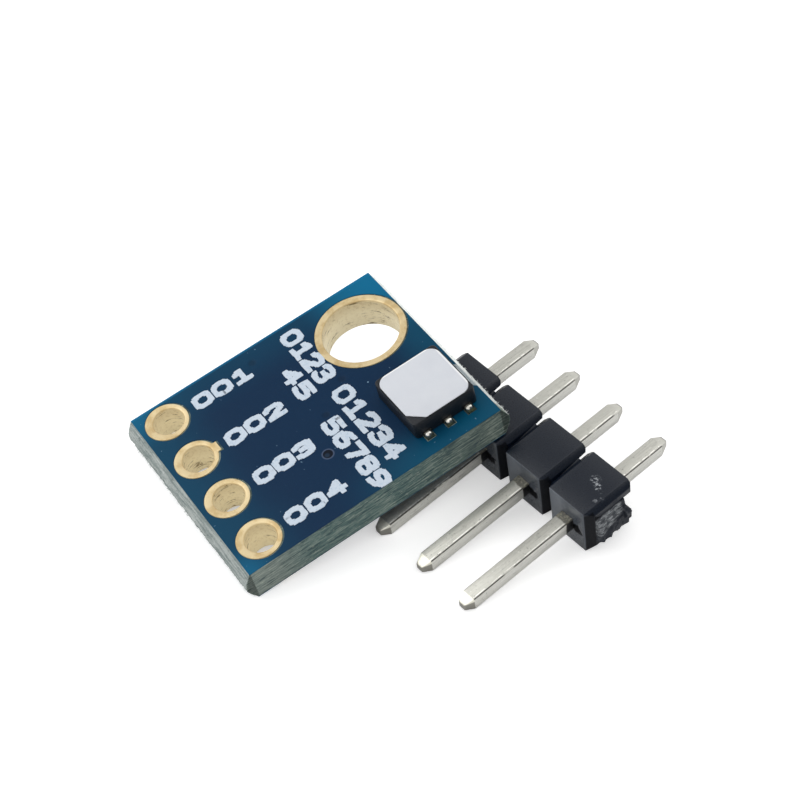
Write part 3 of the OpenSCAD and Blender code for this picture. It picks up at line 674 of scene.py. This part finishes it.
def ragEdge(start, way, amount):
    middle, skin, half = board["top"] / 2, board["skin"], ragValues["web"] / 2
    corners = [(0, board["top"] - skin), (ragValues["out"], middle + half),
               (ragValues["out"], middle - half), (0, skin)]
    shape = bmesh.new()
    grid = []
    for i in range(ragValues["columns"] + 1):
        x = board["width"] * (i / ragValues["columns"] - 0.5)
        column = []
        for j in range(ragValues["rows"] + 1):
            t = 3 * j / ragValues["rows"]
            k = min(2, int(t))
            one, other = corners[k], corners[k + 1]
            out = one[0] + (other[0] - one[0]) * (t - k)
            z = one[1] + (other[1] - one[1]) * (t - k)
            spot = Vector((x, start + way * out, z))
            rough = abs(noise.noise(spot * 2.2)) + 0.8 * abs(noise.noise(spot * 7.0))
            rough += 0.5 * abs(noise.noise(spot * 19.0))
            fade = math.sin(math.pi * j / ragValues["rows"]) ** 0.5
            column.append(shape.verts.new((x, spot.y + way * (0.006 + amount * rough * fade), z)))
        column += [shape.verts.new((x, start - way * 0.05, z)) for z in (skin, board["top"] - skin)]
        grid.append(column)
    count = len(grid[0])
    for here, there in zip(grid, grid[1:]):
        for j in range(count):
            k = (j + 1) % count
            shape.faces.new((here[j], there[j], there[k], here[k]))
    shape.faces.new(grid[0])
    shape.faces.new(grid[-1][::-1])
    bmesh.ops.recalc_face_normals(shape, faces=shape.faces)
    return shape


strandSizes = {"Density": 26.0, "Thick": 0.011, "Long": 0.11, "Tilt": 0.9, "Seed": 3}
brokenEdges = [("snappedEdgeNear", 0.0, -1, ragValues["near"]),
               ("snappedEdgeFar", board["length"], 1, ragValues["far"])]
for name, start, way, amount in brokenEdges:
    shape = ragEdge(start, way, amount)
    ground = bpy.data.meshes.new(name)
    shape.to_mesh(ground)
    pieceFrom(settle(shape, boardPlace), name, core, smoothAngle=25)
    recipe = Recipe(name + "Strands", strandSizes)
    outer = recipe.node("GeometryNodeInputNormal")
    outer = recipe.math("MULTIPLY", recipe.node("ShaderNodeSeparateXYZ", {}, {0: outer}, out=1), float(way))
    outer = recipe.node("FunctionNodeCompare", {"operation": "GREATER_THAN"}, {0: outer, 1: 0.3})
    thick, seed = recipe.size["Thick"], recipe.size["Seed"]
    spots = recipe.node("GeometryNodeDistributePointsOnFaces", {}, {
        "Mesh": recipe.geometry, "Selection": outer, "Density": recipe.size["Density"], "Seed": seed})
    strand = recipe.node("GeometryNodeMeshCone", {}, {
        "Vertices": 5, "Radius Top": thick * 0.4, "Radius Bottom": thick, "Depth": recipe.size["Long"]})
    lean = recipe.scaled(recipe.randomVector((-1, -1, -1), (1, 1, 1)), recipe.size["Tilt"])
    lean = recipe.node("FunctionNodeEulerToRotation", {}, {0: lean})
    turn = recipe.node("FunctionNodeRotateRotation", {}, {0: spots.other("Rotation"), 1: lean})
    strands = recipe.node("GeometryNodeInstanceOnPoints", {}, {
        "Points": spots, "Instance": strand, "Rotation": turn, "Scale": recipe.randomNumber(0.4, 1.0)})
    recipe.close(strands, core)
    shape = settle(recipe.run(ground, name + "Strands"), boardPlace)
    pieceFrom(shape, name + "Strands", core)
print("snapped edges roughened")

digits = {
    "0": [[(0, .2), (0, .8), (.18, 1), (.42, 1), (.6, .8), (.6, .2), (.42, 0), (.18, 0), (0, .2)]],
    "1": [[(.08, .78), (.34, 1), (.34, 0)], [(.08, 0), (.6, 0)]],
    "2": [[(0, .8), (.16, 1), (.44, 1), (.6, .82), (.6, .64), (0, 0), (.6, 0)]],
    "3": [[(0, .86), (.16, 1), (.44, 1), (.6, .84), (.6, .66), (.42, .53), (.2, .53)],
          [(.42, .53), (.6, .38), (.6, .16), (.44, 0), (.16, 0), (0, .14)]],
    "4": [[(.46, 0), (.46, 1), (0, .32), (.62, .32)]],
    "5": [[(.58, 1), (.05, 1), (.02, .56), (.4, .6), (.6, .44), (.6, .17), (.42, 0), (.16, 0), (0, .14)]],
    "6": [[(.52, 1), (.22, .9), (0, .58), (0, .18), (.16, 0), (.44, 0), (.6, .18), (.6, .4), (.44, .56),
           (.14, .54)]],
    "7": [[(0, 1), (.6, 1), (.24, 0)]],
    "8": [[(.16, .54), (.02, .7), (.02, .86), (.18, 1), (.42, 1), (.58, .86), (.58, .7), (.44, .54),
           (.16, .54)],
          [(.16, .54), (0, .38), (0, .16), (.16, 0), (.44, 0), (.6, .16), (.6, .38), (.44, .54)]],
    "9": [[(.08, 0), (.38, .1), (.6, .42), (.6, .82), (.44, 1), (.16, 1), (0, .82), (0, .6), (.16, .44),
           (.46, .46)]],
}
marks = [   # numbers, middle of the line, its length, height of a figure, turned up the board
    ("001", (-3.84, 3.9), 2.6, 0.8, True), ("002", (-1.24, 4.0), 2.6, 0.8, True),
    ("003", (1.24, 3.91), 2.6, 0.8, True), ("004", (3.79, 3.87), 2.6, 0.8, True),
    ("0123", (-2.82, 7.6), 3.2, 0.95, False), ("45", (-1.84, 6.5), 1.7, 0.85, False),
    ("01234", (1.85, 7.66), 4.4, 0.95, False), ("56789", (2.8, 6.44), 4.1, 0.9, False)]
inkSizes = {"Stroke": 0.21, "Height": 0.03, "Spacing": 0.055, "Ragged": 0.018, "Seed": 4}


def inkPath():
    mesh = bmesh.new()
    for text, middle, length, tall, turned in marks:
        advance = length / (len(text) - 0.3)
        for n, figure in enumerate(text):
            for stroke in digits[figure]:
                last = None
                for u, v in stroke:
                    along = n * advance + u / 0.6 * advance * 0.7 - length / 2
                    up = (v - 0.5) * (tall - inkSizes["Stroke"])
                    if turned:
                        x, y = middle[0] - up, middle[1] + along
                    else:
                        x, y = middle[0] + along, middle[1] + up
                    vert = mesh.verts.new((x, y, board["top"]))
                    if last:
                        mesh.edges.new((last, vert))
                    last = vert
    data = bpy.data.meshes.new("inkPath")
    mesh.to_mesh(data)
    mesh.free()
    return data


recipe = Recipe("inkStrokes", inkSizes)
stroke = recipe.size["Stroke"]
curve = recipe.node("GeometryNodeMeshToCurve", {}, {0: recipe.geometry})
points = recipe.node("GeometryNodeCurveToPoints", {"mode": "LENGTH"}, {
    "Curve": curve, "Length": recipe.size["Spacing"]})
stray = recipe.scaled(recipe.randomVector((-1, -1, 0), (1, 1, 0.2)), recipe.size["Ragged"])
points = recipe.node("GeometryNodeSetPosition", {}, {"Geometry": points, "Offset": stray})
side = recipe.node("ShaderNodeCombineXYZ", {}, {0: stroke, 1: stroke, 2: recipe.size["Height"]})
dab = recipe.node("GeometryNodeMeshCube", {}, {"Size": side})
dabs = recipe.node("GeometryNodeInstanceOnPoints", {}, {
    "Points": points, "Instance": dab, "Scale": recipe.randomNumber(0.92, 1.1)})
recipe.close(dabs, ink)
shape = recipe.run(inkPath(), "inkStrokes")
print("ink faces:", len(shape.faces))
pieceFrom(settle(shape, boardPlace), "inkMarks", ink, smoothAngle=20)


lightValues = {"world": 0.7, "floorLift": 0.46, "floorHalf": 0.06, "key": 0.03, "fill": 0.010,
               "overBoard": 0.5, "farRight": 0.92}
floorMesh = bpy.data.meshes.new("floor")
far = lightValues["floorHalf"]
floorCorners = [(-far, -far, 0), (far, -far, 0), (far, far, 0), (-far, far, 0)]
floorMesh.from_pydata(floorCorners, [], [(0, 1, 2, 3)])
floor = bpy.data.objects.new("floor", floorMesh)
bpy.context.scene.collection.objects.link(floor)
floorPaint = {"Base Color": (0.9, 0.9, 0.9, 1), "Roughness": 0.9, "Specular IOR Level": 0.0}
floorLook = Look("paleFloor", floorPaint)
lift = floorLook.node("ShaderNodeLightPath", out="Is Camera Ray") * lightValues["floorLift"]
glow = floorLook.node("ShaderNodeEmission", {}, {"Color": (1, 1, 1, 1), "Strength": lift})
both = floorLook.node("ShaderNodeAddShader", {}, {0: Wire(floorLook, floorLook.shader.outputs[0]), 1: glow})
floorLook.plug(both, "Material Output", "Surface")
floorMesh.materials.append(floorLook.material)

world = bpy.data.worlds.new("studio")
bpy.context.scene.world = world
world.use_nodes = True
sky = Graph(world.node_tree)
ray = sky.node("ShaderNodeLightPath")
direction = sky.node("ShaderNodeTexCoord", out="Generated")


def darkPatch(aim, wide, soft):                     # a dim patch of sky, for metal and gloss to mirror
    toward = {0: direction, 1: Vector(aim).normalized()}
    facing = sky.node("ShaderNodeVectorMath", {"operation": "DOT_PRODUCT"}, toward, out="Value")
    return sky.step(facing, math.cos(math.radians(wide + soft)), math.cos(math.radians(wide)))


overBoard = darkPatch((-0.58, 0.08, 0.81), 14, 22)
farRight = darkPatch((0.88, 0.47, 0.1), 30, 20)
dark = sky.upToOne(overBoard * lightValues["overBoard"] + farRight * lightValues["farRight"])
mirrored = ray.other("Is Glossy Ray")
seenRay = sky.most(ray.other("Is Camera Ray"), ray.other("Is Transmission Ray"))
strength = seenRay + mirrored * (1 - dark) + (1 - sky.most(seenRay, mirrored)) * lightValues["world"]
background = sky.node("ShaderNodeBackground", {}, {"Color": (1, 1, 1, 1), "Strength": strength})
sky.plug(background, "World Output", "Surface")


lampsAimAt = Vector((0.0, 0.008, 0.0))


def softLamp(name, direction, size, power):
    lamp = bpy.data.lights.new(name, "AREA")
    lamp.shape, lamp.size, lamp.energy = "DISK", size, power
    holder = bpy.data.objects.new(name, lamp)
    bpy.context.scene.collection.objects.link(holder)
    aim = Vector(direction).normalized()
    holder.location = lampsAimAt + aim * 0.1
    holder.rotation_mode = "QUATERNION"
    holder.rotation_quaternion = (-aim).to_track_quat("-Z", "Y")


softLamp("keyLamp", (-0.45, -0.55, 0.75), 0.09, lightValues["key"])
softLamp("fillLamp", (0.2, 0.7, 0.7), 0.09, lightValues["fill"])

cameraValues = {
    "place": (48.0633, -22.1312, 58.7151), "right": (0.545823, 0.837841, 0.010008),
    "up": (-0.593569, 0.378203, 0.710379), "back": (0.591400, -0.393681, 0.703748), "lens": 86.1276}
camera = bpy.data.objects.new("camera", bpy.data.cameras.new("camera"))
bpy.context.scene.collection.objects.link(camera)
turn = Matrix((cameraValues["right"], cameraValues["up"], cameraValues["back"])).transposed()
camera.matrix_world = Matrix.Translation(Vector(cameraValues["place"]) * mm) @ turn.to_4x4()
camera.data.lens, camera.data.sensor_width = cameraValues["lens"], 36
camera.data.clip_start, camera.data.clip_end = 0.001, 10
bpy.context.scene.camera = camera
bpy.context.scene.view_settings.view_transform = "Standard"
print("light and camera set")
